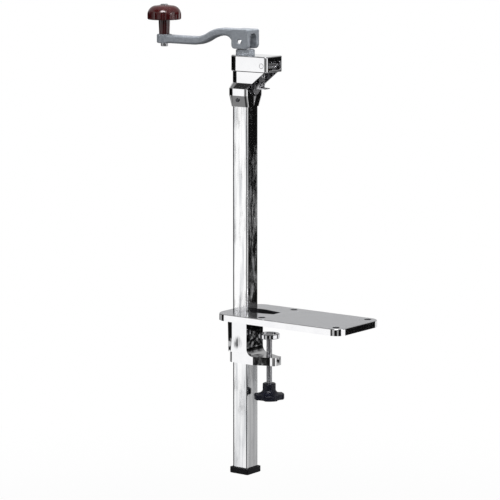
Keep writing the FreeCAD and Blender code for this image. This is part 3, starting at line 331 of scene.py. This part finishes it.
def platedCasting():
    finish, nodes = newFinish("platedCasting")
    x, y, z = nodes.parts(nodes.place())
    facingX, facingY, facingZ = nodes.parts(nodes.add("NewGeometry", {}, {}, "Normal"))
    upward = facingZ.above(plated["topFacing"])
    guide = z.below(plated["guideTop"])
    satin = upward * z.between(plated["topLow"], plated["topHigh"])
    # painted shade on the walls of the plate's openings
    paintedShade = openingShade(nodes, x, y, z, upward)
    shadeMarks = paintedShadeMarks(nodes, x, z, facingX, facingY, guide)
    patches = nodes.noise(plated["patchScale"], 4)
    waves = nodes.noise(plated["waveScale"], 2)
    pits = nodes.noise(plated["pitScale"], 2)
    brushed = nodes.noise(plated["brushScale"], 5, plated["brushStretch"])
    polish = nodes.blend(patches, plated["dark"], plated["light"])
    # painted shade and painted dark reflections laid over the polish
    polish = nodes.blend(shadeMarks, polish, plated["paintedShade"])
    satinColour = nodes.blend(brushed, plated["satinDark"], plated["satinLight"])
    colour = nodes.blend(satin, polish, satinColour)
    roughness = grow(plated["polishRoughness"], patches)
    roughness = roughness + satin * grow(plated["satinRoughness"], brushed)
    ripple = nodes.bump(
        waves * grow(plated["waveHeight"], guide), plated["waveStrength"], plated["waveDepth"])
    closeFinish(nodes, {
        "Base Color": nodes.blend(paintedShade, colour, plated["paintedShade"]),
        "Metallic": 1.0,
        "Roughness": roughness + paintedShade * plated["wallRoughness"],
        "Normal": nodes.bump(pits, plated["pitStrength"], fineDepth, ripple),
    })
    return finish


# Plated square tube, clouded where hands and the guide rub it, darker in streaky bands towards
# the bottom, with painted dark reflections on its two back corners
column = {
    "dark": rgb(0.62, 0.63, 0.65),
    "light": rgb(0.95, 0.95, 0.955),
    # colour of the painted dark reflection on the two back corners
    "darkCornerReflection": rgb(0.05, 0.05, 0.055),
    "backCorner": 0.0097,
    "cloudScale": 42,
    "cloudStretch": (1, 1, 0.40),
    "cloudEdges": (0.40, 0.60),
    "lineScale": 520,
    "lineStretch": (1, 1, 0.015),
    "smearScale": 150,
    "smearStretch": (1, 1, 0.06),
    "smearEdges": (0.46, 0.70),
    "speckScale": 260,
    "speckStretch": (1, 1, 0.07),
    "speckEdges": (0.42, 0.60),
    "speckDepth": (0.25, 0.75),
    "bandScale": 210,
    "bandStretch": (1, 1, 0.02),
    "bandEdges": (0.40, 0.62),
    "bandDepth": (0.12, 0.50),
    "bandHeights": (-0.04, -0.09),
    "polishRoughness": (0.035, 0.03),
    "lineRoughness": 0.06,
    "rubbedRoughness": 0.25,
    "waveScale": 30,
    "waveStretch": (1, 1, 0.5),
    "waveStrength": 0.12,
    "waveDepth": 0.0015,
    "lineStrength": 0.22,
    "lineDepth": 0.0002,
}


def columnChrome():
    finish, nodes = newFinish("columnChrome")
    x, y, z = nodes.parts(nodes.place())
    clouds = nodes.noise(column["cloudScale"], 6, column["cloudStretch"], 0.62)
    lines = nodes.noise(column["lineScale"], 3, column["lineStretch"])
    smears = nodes.noise(column["smearScale"], 4, column["smearStretch"], 0.6)
    specks = nodes.noise(column["speckScale"], 4, column["speckStretch"], 0.6)
    bands = nodes.noise(column["bandScale"], 3, column["bandStretch"])
    waves = nodes.noise(column["waveScale"], 2, column["waveStretch"])
    rubbed = nodes.fade(clouds, *column["cloudEdges"])
    rubbed = rubbed * grow(column["speckDepth"], nodes.fade(specks, *column["speckEdges"]))
    # darker in streaky bands towards the bottom
    lower = nodes.fade(z, *column["bandHeights"])
    lower = lower * grow(column["bandDepth"], nodes.fade(bands, *column["bandEdges"]))
    marks = nodes.fade(smears, *column["smearEdges"]) + lower
    # painted dark reflection on the two back corners
    backCorners = x.below(-column["backCorner"]) * y.size().above(column["backCorner"])
    polish = nodes.blend(marks, column["light"], column["dark"])
    wavy = nodes.bump(waves, column["waveStrength"], column["waveDepth"])
    roughness = grow(column["polishRoughness"], clouds) + lines * column["lineRoughness"]
    closeFinish(nodes, {
        "Base Color": nodes.blend(backCorners, polish, column["darkCornerReflection"]),
        "Metallic": 1.0,
        "Roughness": roughness + rubbed * column["rubbedRoughness"],
        "Normal": nodes.bump(lines, column["lineStrength"], column["lineDepth"], wavy),
    })
    return finish


platedPad = {
    "dark": rgb(0.76, 0.76, 0.78),
    "light": rgb(0.90, 0.90, 0.92),
    "patchScale": 160,
    "grainScale": 1500,
    "roughness": (0.07, 0.08),
    "grainStrength": 0.06,
}


def platedSteel():
    finish, nodes = newFinish("platedSteel")
    patches = nodes.noise(platedPad["patchScale"], 3)
    grain = nodes.noise(platedPad["grainScale"], 2)
    closeFinish(nodes, {
        "Base Color": nodes.blend(patches, platedPad["dark"], platedPad["light"]),
        "Metallic": 1.0,
        "Roughness": grow(platedPad["roughness"], patches),
        "Normal": nodes.bump(grain, platedPad["grainStrength"], fineDepth),
    })
    return finish


# Bare steels, with fine rings left by turning
turned = {
    "stainAndShadeMottleScale": 240,
    "stainRoughness": 0.16,
    "ringScale": 2600,
    "ringStretch": (0.15, 0.15, 1),
    "ringStrength": 0.10,
}


def turnedSteel(name, dark, light, roughness):
    finish, nodes = newFinish(name)
    stainsAndShadeMottle = nodes.noise(turned["stainAndShadeMottleScale"], 4)
    rings = nodes.noise(turned["ringScale"], 2, turned["ringStretch"])
    closeFinish(nodes, {
        "Base Color": nodes.blend(stainsAndShadeMottle, dark, light),
        "Metallic": 1.0,
        "Roughness": grow((roughness, turned["stainRoughness"]), stainsAndShadeMottle),
        "Normal": nodes.bump(rings, turned["ringStrength"], fineDepth),
    })
    return finish


# Sand-cast grey of the crank and the sleeve
sandCast = {
    "pit": rgb(0.17, 0.19, 0.22),
    "skin": rgb(0.37, 0.395, 0.43),
    "rub": rgb(0.56, 0.58, 0.61),
    "sandScale": 1100,
    "sandEdges": (0.36, 0.58),
    "patchScale": 60,
    "rubEdges": (0.55, 0.75),
    "rubDepth": 0.25,
    "metallic": 0.28,
    "roughness": (0.46, -0.10),
    "sandStrength": 0.45,
    "sandDepth": 0.0002,
    "patchStrength": 0.06,
    "patchDepth": 0.001,
}


def castAluminium():
    finish, nodes = newFinish("castAluminium")
    sand = nodes.noise(sandCast["sandScale"], 4, (1, 1, 1), 0.70)
    patches = nodes.noise(sandCast["patchScale"], 5, (1, 1, 1), 0.6)
    rubbed = nodes.fade(patches, *sandCast["rubEdges"])
    grains = nodes.fade(sand, *sandCast["sandEdges"])
    skin = nodes.blend(grains, sandCast["pit"], sandCast["skin"])
    uneven = nodes.bump(patches, sandCast["patchStrength"], sandCast["patchDepth"])
    closeFinish(nodes, {
        "Base Color": nodes.blend(rubbed * sandCast["rubDepth"], skin, sandCast["rub"]),
        "Metallic": sandCast["metallic"],
        "Roughness": grow(sandCast["roughness"], rubbed),
        "Normal": nodes.bump(sand, sandCast["sandStrength"], sandCast["sandDepth"], uneven),
    })
    return finish


# Plastics
grip = {
    "dark": rgb(0.028, 0.0012, 0.0016),
    "light": rgb(0.052, 0.0024, 0.0030),
    "swirlScale": 45,
    "rippleScale": 220,
    "rippleStrength": 0.03,
    "rippleDepth": 0.0006,
    "roughness": (0.16, 0.10),
    "ior": 1.6,
    "coat": 0.5,
    "coatRoughness": 0.05,
}


def burgundyPlastic():
    finish, nodes = newFinish("burgundyPlastic")
    swirl = nodes.noise(grip["swirlScale"], 3)
    ripple = nodes.noise(grip["rippleScale"], 2)
    closeFinish(nodes, {
        "Base Color": nodes.blend(swirl, grip["dark"], grip["light"]),
        "Roughness": grow(grip["roughness"], swirl),
        "IOR": grip["ior"],
        "Coat Weight": grip["coat"],
        "Coat Roughness": grip["coatRoughness"],
        "Normal": nodes.bump(ripple, grip["rippleStrength"], grip["rippleDepth"]),
    })
    return finish


matte = {"grainScale": 1800, "grainStrength": 0.10, "wornScale": 60, "wornRoughness": 0.12}


def mattePlastic(name, dark, light, roughness, ior):
    finish, nodes = newFinish(name)
    grain = nodes.noise(matte["grainScale"], 3)
    worn = nodes.noise(matte["wornScale"], 4)
    closeFinish(nodes, {
        "Base Color": nodes.blend(worn, dark, light),
        "Roughness": grow((roughness, matte["wornRoughness"]), worn),
        "IOR": ior,
        "Normal": nodes.bump(grain, matte["grainStrength"], fineDepth),
    })
    return finish


bush = {
    "dark": rgb(0.42, 0.28, 0.13),
    "light": rgb(0.66, 0.48, 0.26),
    "grainScale": 1500,
    "grainStrength": 0.12,
    "roughness": (0.34, 0.14),
}


def sinteredBronze():
    finish, nodes = newFinish("sinteredBronze")
    grain = nodes.noise(bush["grainScale"], 3)
    closeFinish(nodes, {
        "Base Color": nodes.blend(grain, bush["dark"], bush["light"]),
        "Metallic": 1.0,
        "Roughness": grow(bush["roughness"], grain),
        "Normal": nodes.bump(grain, bush["grainStrength"], fineDepth),
    })
    return finish


# Name of the finish, its dark and light colours and its roughness
steels = {
    "steel": ("turnedSteel", rgb(0.50, 0.50, 0.52), rgb(0.74, 0.74, 0.76), 0.18),
    "bright_pin": ("brightPin", rgb(0.84, 0.84, 0.86), rgb(0.96, 0.96, 0.97), 0.10),
    "dark_pin": ("darkPin", rgb(0.06, 0.06, 0.065), rgb(0.12, 0.12, 0.13), 0.26),
    "zinc_thread": ("zincThread", rgb(0.42, 0.42, 0.44), rgb(0.66, 0.66, 0.68), 0.24),
    "hard_steel": ("groundSteel", rgb(0.38, 0.38, 0.40), rgb(0.56, 0.56, 0.58), 0.26),
    "spring_steel": ("springSteel", rgb(0.26, 0.26, 0.28), rgb(0.44, 0.44, 0.46), 0.28),
}
# The same, and the refractive index that sets the glare
plastics = {
    "black_plastic": (
        "blackFoot", rgb(0.003, 0.003, 0.004), rgb(0.008, 0.008, 0.010), 0.42, 1.28),
    "knob_plastic": (
        "blueBlackKnob", rgb(0.004, 0.0045, 0.010), rgb(0.009, 0.010, 0.020), 0.36, 1.42),
}

finishes = {
    "plated_casting": platedCasting(),
    "column_chrome": columnChrome(),
    "plated_steel": platedSteel(),
    "bronze": sinteredBronze(),
    "cast_aluminium": castAluminium(),
    "burgundy_plastic": burgundyPlastic(),
}
for finishName, values in steels.items():
    finishes[finishName] = turnedSteel(*values)
for finishName, values in plastics.items():
    finishes[finishName] = mattePlastic(*values)

# Nodes that look other than their slot's finish
ownLooks = {"lever_pin": "bright_pin", "crank_pin": "bright_pin", "column_pin": "dark_pin"}


def dress(piece, finishName):
    piece.data.materials.clear()
    piece.data.materials.append(finishes[finishName])


for row in frame["record"]["subparts"]:
    dress(frame["nodes"][row["node"]], row["material_slot"])
for nodeName, finishName in ownLooks.items():
    dress(frame["nodes"][nodeName], finishName)
print("finishes made:", len(finishes))


weldGap = 0.00001  # metres between points that are merged


# New pieces in place of plain CAD stand-ins
def newPiece(name, shape, finishName, body, sharpAngle=32):
    bmesh.ops.remove_doubles(shape, verts=shape.verts, dist=weldGap)
    bmesh.ops.recalc_face_normals(shape, faces=shape.faces)
    mesh = bpy.data.meshes.new(name)
    shape.to_mesh(mesh)
    shape.free()
    mesh.polygons.foreach_set("use_smooth", [True] * len(mesh.polygons))
    mesh.set_sharp_from_angle(angle=math.radians(sharpAngle))
    piece = bpy.data.objects.new(name, mesh)
    bpy.context.scene.collection.objects.link(piece)
    dress(piece, finishName)
    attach(piece, body)
    return piece


# A line of radius and height points, turned about the upright axis
def turn(shape, outline, steps, angle=2 * math.pi, rise=0.0, merge=True):
    points = [shape.verts.new((radius, 0, height)) for radius, height in outline]
    lines = [shape.edges.new(pair) for pair in zip(points, points[1:])]
    bmesh.ops.spin(
        shape, geom=points + lines, cent=(0, 0, 0), axis=(0, 0, 1), dvec=(0, 0, rise),
        angle=angle, steps=steps, use_merge=merge, use_duplicate=False,
    )


clampThread = {
    "pitch": 0.00125,
    "rootRadius": 0.00355,
    "crestRadius": 0.00399,
    "start": -0.0945,
    "turns": 53,
    "stepsRound": 24,
    "shoulderFoot": -0.0290,
    "shoulderTop": -0.02595,
    "neckRadius": 0.0028,
    "headFoot": -0.02175,
    "headRadius": 0.00475,
    "headTaper": 0.0010,
    "bevel": 0.0005,
    "rodSteps": 32,
    "headSteps": 48,
    "sealTurns": 2,
    # part of a pitch, and height from root to crest
    "profile": [(0.0, 0), (0.12, 0), (0.38, 1), (0.62, 1), (0.88, 0), (1.0, 0)],
}


def makeClampScrew():
    thread = clampThread
    low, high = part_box("clamp_screw")
    centre = ((low.x + high.x) / 2, (low.y + high.y) / 2, 0)
    shape = bmesh.new()
    start, pitch = thread["start"], thread["pitch"]
    root, crest = thread["rootRadius"], thread["crestRadius"]
    outline = [
        (root + (crest - root) * height, start + part * pitch)
        for part, height in thread["profile"]
    ]
    steps = thread["turns"] * thread["stepsRound"]
    turn(
        shape, outline, steps, thread["turns"] * 2 * math.pi,
        pitch / thread["stepsRound"], merge=False,
    )
    bmesh.ops.remove_doubles(shape, verts=shape.verts, dist=weldGap)
    openEdges = [edge for edge in shape.edges if edge.is_boundary]
    bmesh.ops.holes_fill(shape, edges=openEdges, sides=0)
    bevel = thread["bevel"]
    sealed = start + thread["sealTurns"] * pitch
    turn(shape, [(0, low.z), (root, low.z), (root, sealed), (0, sealed)], thread["rodSteps"])
    turn(shape, [
        (0, thread["shoulderFoot"]),
        (root, thread["shoulderFoot"]),
        (crest, thread["shoulderFoot"] + bevel),
        (crest, thread["shoulderTop"] - bevel),
        (crest - bevel, thread["shoulderTop"]),
        (thread["neckRadius"], thread["shoulderTop"]),
        (thread["neckRadius"], thread["headFoot"]),
        (thread["headRadius"], thread["headFoot"]),
        (thread["headRadius"] - thread["headTaper"], high.z),
        (0, high.z),
    ], thread["headSteps"])
    bmesh.ops.translate(shape, verts=shape.verts, vec=centre)
    piece = newPiece("threadedScrew", shape, "zinc_thread", "clamp_screw")
    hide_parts("clamp_screw")


bladeScrew = {
    "headRadius": 0.004,
    "headHeight": 0.0026,
    "edge": 0.0004,
    "shankRadius": 0.00195,
    "mouthRadius": 0.00245,
    "hexRadius": 0.00231,
    "hexDrop": 0.00015,
    "hexDepth": 0.0016,
    "edgeBulge": 0.3,
    "steps": 48,
}


def makeBladeScrews():
    screw = bladeScrew
    low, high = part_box("blade_screws")
    seat = high.x - low.x - screw["headHeight"]
    top = seat + screw["headHeight"]
    shape = bmesh.new()
    radius, edge = screw["headRadius"], screw["edge"]
    bulge = screw["edgeBulge"] * edge
    turn(shape, [
        (0, 0),
        (screw["shankRadius"], 0),
        (screw["shankRadius"], seat),
        (radius, seat),
        (radius, top - edge),
        (radius - bulge, top - bulge),
        (radius - edge, top),
        (screw["mouthRadius"], top),
    ], screw["steps"])
    bmesh.ops.remove_doubles(shape, verts=shape.verts, dist=weldGap)
    mouth = [line for line in shape.edges if line.is_boundary]
    hexagon = bmesh.ops.create_circle(shape, segments=6, radius=screw["hexRadius"])["verts"]
    bmesh.ops.translate(shape, verts=hexagon, vec=(0, 0, top - screw["hexDrop"]))
    hexLines = list({line for point in hexagon for line in point.link_edges})
    bmesh.ops.bridge_loops(shape, edges=mouth + hexLines)
    walls = bmesh.ops.extrude_edge_only(shape, edges=hexLines)["geom"]
    floorPoints = [item for item in walls if isinstance(item, bmesh.types.BMVert)]
    floorLines = [item for item in walls if isinstance(item, bmesh.types.BMEdge)]
    bmesh.ops.translate(shape, verts=floorPoints, vec=(0, 0, -screw["hexDepth"]))
    bmesh.ops.contextual_create(shape, geom=[line for line in floorLines if line.is_boundary])
    bmesh.ops.rotate(shape, verts=shape.verts, matrix=Matrix.Rotation(math.pi / 2, 3, "Y"))
    lower = low.z + radius
    apart = high.z - low.z - 2 * radius
    bmesh.ops.translate(shape, verts=shape.verts, vec=(low.x, 0, lower))
    everything = list(shape.verts) + list(shape.edges) + list(shape.faces)
    copied = bmesh.ops.duplicate(shape, geom=everything)["geom"]
    upper = [item for item in copied if isinstance(item, bmesh.types.BMVert)]
    bmesh.ops.translate(shape, verts=upper, vec=(0, 0, apart))
    piece = newPiece("socketScrews", shape, "steel", "blade_lever")
    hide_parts("blade_screws")


makeClampScrew()
makeBladeScrews()
print("clamp thread and socket screws made")

# Floor, surroundings and lamps
studio = {
    "floorZ": cadBox[0].z - 0.281,  # clear of the foot when the column is at its lowest
    "floorRadius": 2.45,
    "floorSegments": 96,
    "floorColour": rgb(0.16, 0.16, 0.16),
    "floorGlow": 0.94,
    "glowReach": (0.4, 1.6),
    "skyDark": 0.05,
    "skyLight": 0.72,
    "skyHeights": (-0.3, 0.5),
}
# What polished faces mirror, with heights on a unit ball round the object
mirrored = {
    "gain": 1.06,
    "highGain": 0.95,
    "horizon": (-0.03, 0.05),
    "middleHeights": (0.30, 0.40),
    "middleSky": 0.35,
    "overheadHeights": (0.80, 0.92),
    "overhead": 0.45,
    "plateGrey": 0.41,
    "plateBearings": (-115, 175),
    "plateHeights": (0.11, 0.15),
    "windowLevel": 14.0,
    "stripLevel": 5.0,
    "nearGrey": 0.46,
    "nearBearings": (133, 176),
    "nearReach": (0.5, 2.3),
    "shallowAngles": (0.52, 0.80),
    "slantRise": (0.36, 0.44),
    "slantFall": (0.64, 0.56),
    "slantLevel": 0.22,
    "steepLevel": 0.006,
    "belowAngles": (0.40, 0.20),
    "belowLevel": 0.12,
}
# Fields of the mirrored sky: bearings from and to, heights from and to
skyFields = {
    "gripWindow": (8, 46, 0.64, 0.84),
    "strip": (84, 96, 0.02, 0.40),
    "leftGap": (-105, -76, -0.13, 2.0),
    "slopeGap": (-60, -15, 0.57, 2.0),
    "panelTop": (-45, -28, 0.0, 0.21),
}
# Bearings and brightness below and above eye level
lowRing = [
    (-180, 0.8), (-166, 0.8), (-160, 0.01), (-146, 0.01), (-142, 0.4), (-128, 0.4),
    (-122, 0.006), (-102, 0.006), (-98, 0.5), (-82, 0.5), (-76, 0.006), (-52, 0.01),
    (-49, 1.0), (-28, 1.0), (-25, 0.01), (-12, 0.006), (-8, 0.5), (8, 0.5),
    (12, 0.006), (37, 0.006), (40, 0.35), (52, 0.35), (55, 0.006), (79, 0.006),
    (82, 1.0), (130, 1.0), (133, 0.006), (150, 0.004), (158, 0.9), (180, 0.8),
]
highRing = [
    (-180, 0.9), (-120, 0.9), (-100, 0.25), (-70, 0.03), (-15, 0.02), (-6, 0.35),
    (30, 0.35), (60, 0.06), (100, 0.03), (150, 0.03), (172, 0.5), (180, 0.9),
]


def makeSurroundings():
    world = bpy.data.worlds.new("studio")
    bpy.context.scene.world = world
    world.use_nodes = True
    nodes = NodeTree(world.node_tree)
    x, y, z = nodes.parts(nodes.add("TexCoord", {}, {}, "Generated"))
    angle = x.bearing(y)

    def field(name):
        start, end, bottom, top = skyFields[name]
        return angle.between(start, end) * z.between(bottom, top)

    def cover(under, mask, level):
        return under * (1 - mask) + mask * level

    low = nodes.ring(angle, lowRing) * mirrored["gain"] * (1 - field("leftGap"))
    high = nodes.ring(angle, highRing) * mirrored["highGain"]
    mirror = cover(low, nodes.fade(z, *mirrored["horizon"]), high)
    middle = nodes.fade(z, *mirrored["middleHeights"]) * (1 - field("slopeGap"))
    mirror = cover(mirror, middle, mirrored["middleSky"])
    overhead = nodes.fade(z, *mirrored["overheadHeights"])
    mirror = cover(mirror, overhead, mirrored["overhead"])
    plateStart, plateEnd = mirrored["plateBearings"]
    farSide = angle.below(plateStart) + angle.above(plateEnd)
    farSide = farSide * nodes.fade(z, *mirrored["plateHeights"])
    mirror = cover(mirror, farSide, mirrored["plateGrey"])
    mirror = cover(mirror, field("panelTop"), mirrored["gain"])
    mirror = mirror + field("gripWindow") * mirrored["windowLevel"]
    mirror = mirror + field("strip") * mirrored["stripLevel"]
    skyRise = nodes.fade(z, *studio["skyHeights"])
    soft = grow((studio["skyDark"], studio["skyLight"] - studio["skyDark"]), skyRise)
    plain = nodes.add("Background", {}, {"Color": rgb(1, 1, 1), "Strength": soft})
    shiny = nodes.add("Background", {}, {"Color": rgb(1, 1, 1), "Strength": mirror})
    white = nodes.add("Background", {}, {"Color": rgb(1, 1, 1), "Strength": 1.0})
    inner = nodes.add("MixShader", {}, {0: nodes.path("Is Glossy Ray"), 1: plain, 2: shiny})
    seen = nodes.path("Is Camera Ray") + nodes.path("Is Transmission Ray")
    outer = nodes.add("MixShader", {}, {0: seen, 1: inner, 2: white})
    nodes.add("OutputWorld", {}, {"Surface": outer})


def floorFinish():
    finish, nodes = newFinish("paleFloor")
    x, y = nodes.parts(nodes.place())[:2]
    angle = x.bearing(y)
    away = apart(x, y)
    low = nodes.ring(angle, lowRing) * mirrored["gain"]
    nearSide = angle.between(*mirrored["nearBearings"]) * away.between(*mirrored["nearReach"])
    nearLevel = mirrored["nearGrey"] * mirrored["gain"]
    mirror = low * (1 - nearSide) + nearSide * nearLevel
    grazing = nodes.add("LayerWeight", {}, {"Blend": 0.5}, "Facing")
    shallow = nodes.fade(grazing, *mirrored["shallowAngles"])
    slant = nodes.fade(grazing, *mirrored["slantRise"])
    slant = slant * nodes.fade(grazing, *mirrored["slantFall"])
    below = nodes.fade(grazing, *mirrored["belowAngles"]) * mirrored["belowLevel"]
    steep = mirrored["steepLevel"] + slant * mirrored["slantLevel"] + below
    mirror = mirror * shallow + (1 - shallow) * steep
    matt = nodes.add("BsdfDiffuse", {}, {"Color": studio["floorColour"]})
    glow = nodes.add("Emission", {}, {"Color": rgb(1, 1, 1), "Strength": 1.0})
    panels = nodes.add("Emission", {}, {"Color": rgb(1, 1, 1), "Strength": mirror})
    outward = nodes.fade(away, *studio["glowReach"])
    whiteness = grow((studio["floorGlow"], 1 - studio["floorGlow"]), outward)
    seen = nodes.path("Is Camera Ray") * whiteness
    surface = nodes.add("MixShader", {}, {0: seen, 1: matt, 2: glow})
    surface = nodes.add("MixShader", {}, {0: nodes.path("Is Glossy Ray"), 1: surface, 2: panels})
    nodes.add("OutputMaterial", {}, {"Surface": surface})
    return finish


def makeFloor():
    shape = bmesh.new()
    bmesh.ops.create_circle(
        shape, cap_ends=True, segments=studio["floorSegments"], radius=studio["floorRadius"])
    bmesh.ops.translate(shape, verts=shape.verts, vec=(0, 0, studio["floorZ"]))
    mesh = bpy.data.meshes.new("floor")
    shape.to_mesh(mesh)
    shape.free()
    floor = bpy.data.objects.new("floor", mesh)
    bpy.context.scene.collection.objects.link(floor)
    mesh.materials.append(floorFinish())


lamps = {
    "keySoftbox": {"place": (-1.5, -1.9, 1.9), "power": 30, "wide": 1.3, "high": 1.3},
    "topSoftbox": {"place": (0.2, 0.4, 2.3), "power": 74, "wide": 1.6, "high": 1.6},
    "fillSoftbox": {"place": (2.4, -0.9, 1.1), "power": 24, "wide": 1.2, "high": 1.2},
}
lampAim = Vector((0, 0, 0.15))


def makeLamps():
    for name, lamp in lamps.items():
        data = bpy.data.lights.new(name, "AREA")
        data.shape = "RECTANGLE"
        data.size = lamp["wide"]
        data.size_y = lamp["high"]
        data.energy = lamp["power"]
        light = bpy.data.objects.new(name, data)
        bpy.context.scene.collection.objects.link(light)
        light.location = lamp["place"]
        aim = lampAim - light.location
        light.rotation_euler = aim.to_track_quat("-Z", "Y").to_euler()
        light.visible_camera = False
        light.visible_glossy = False


makeSurroundings()
makeFloor()
makeLamps()
bpy.context.scene.view_settings.view_transform = "Standard"
print("studio set")
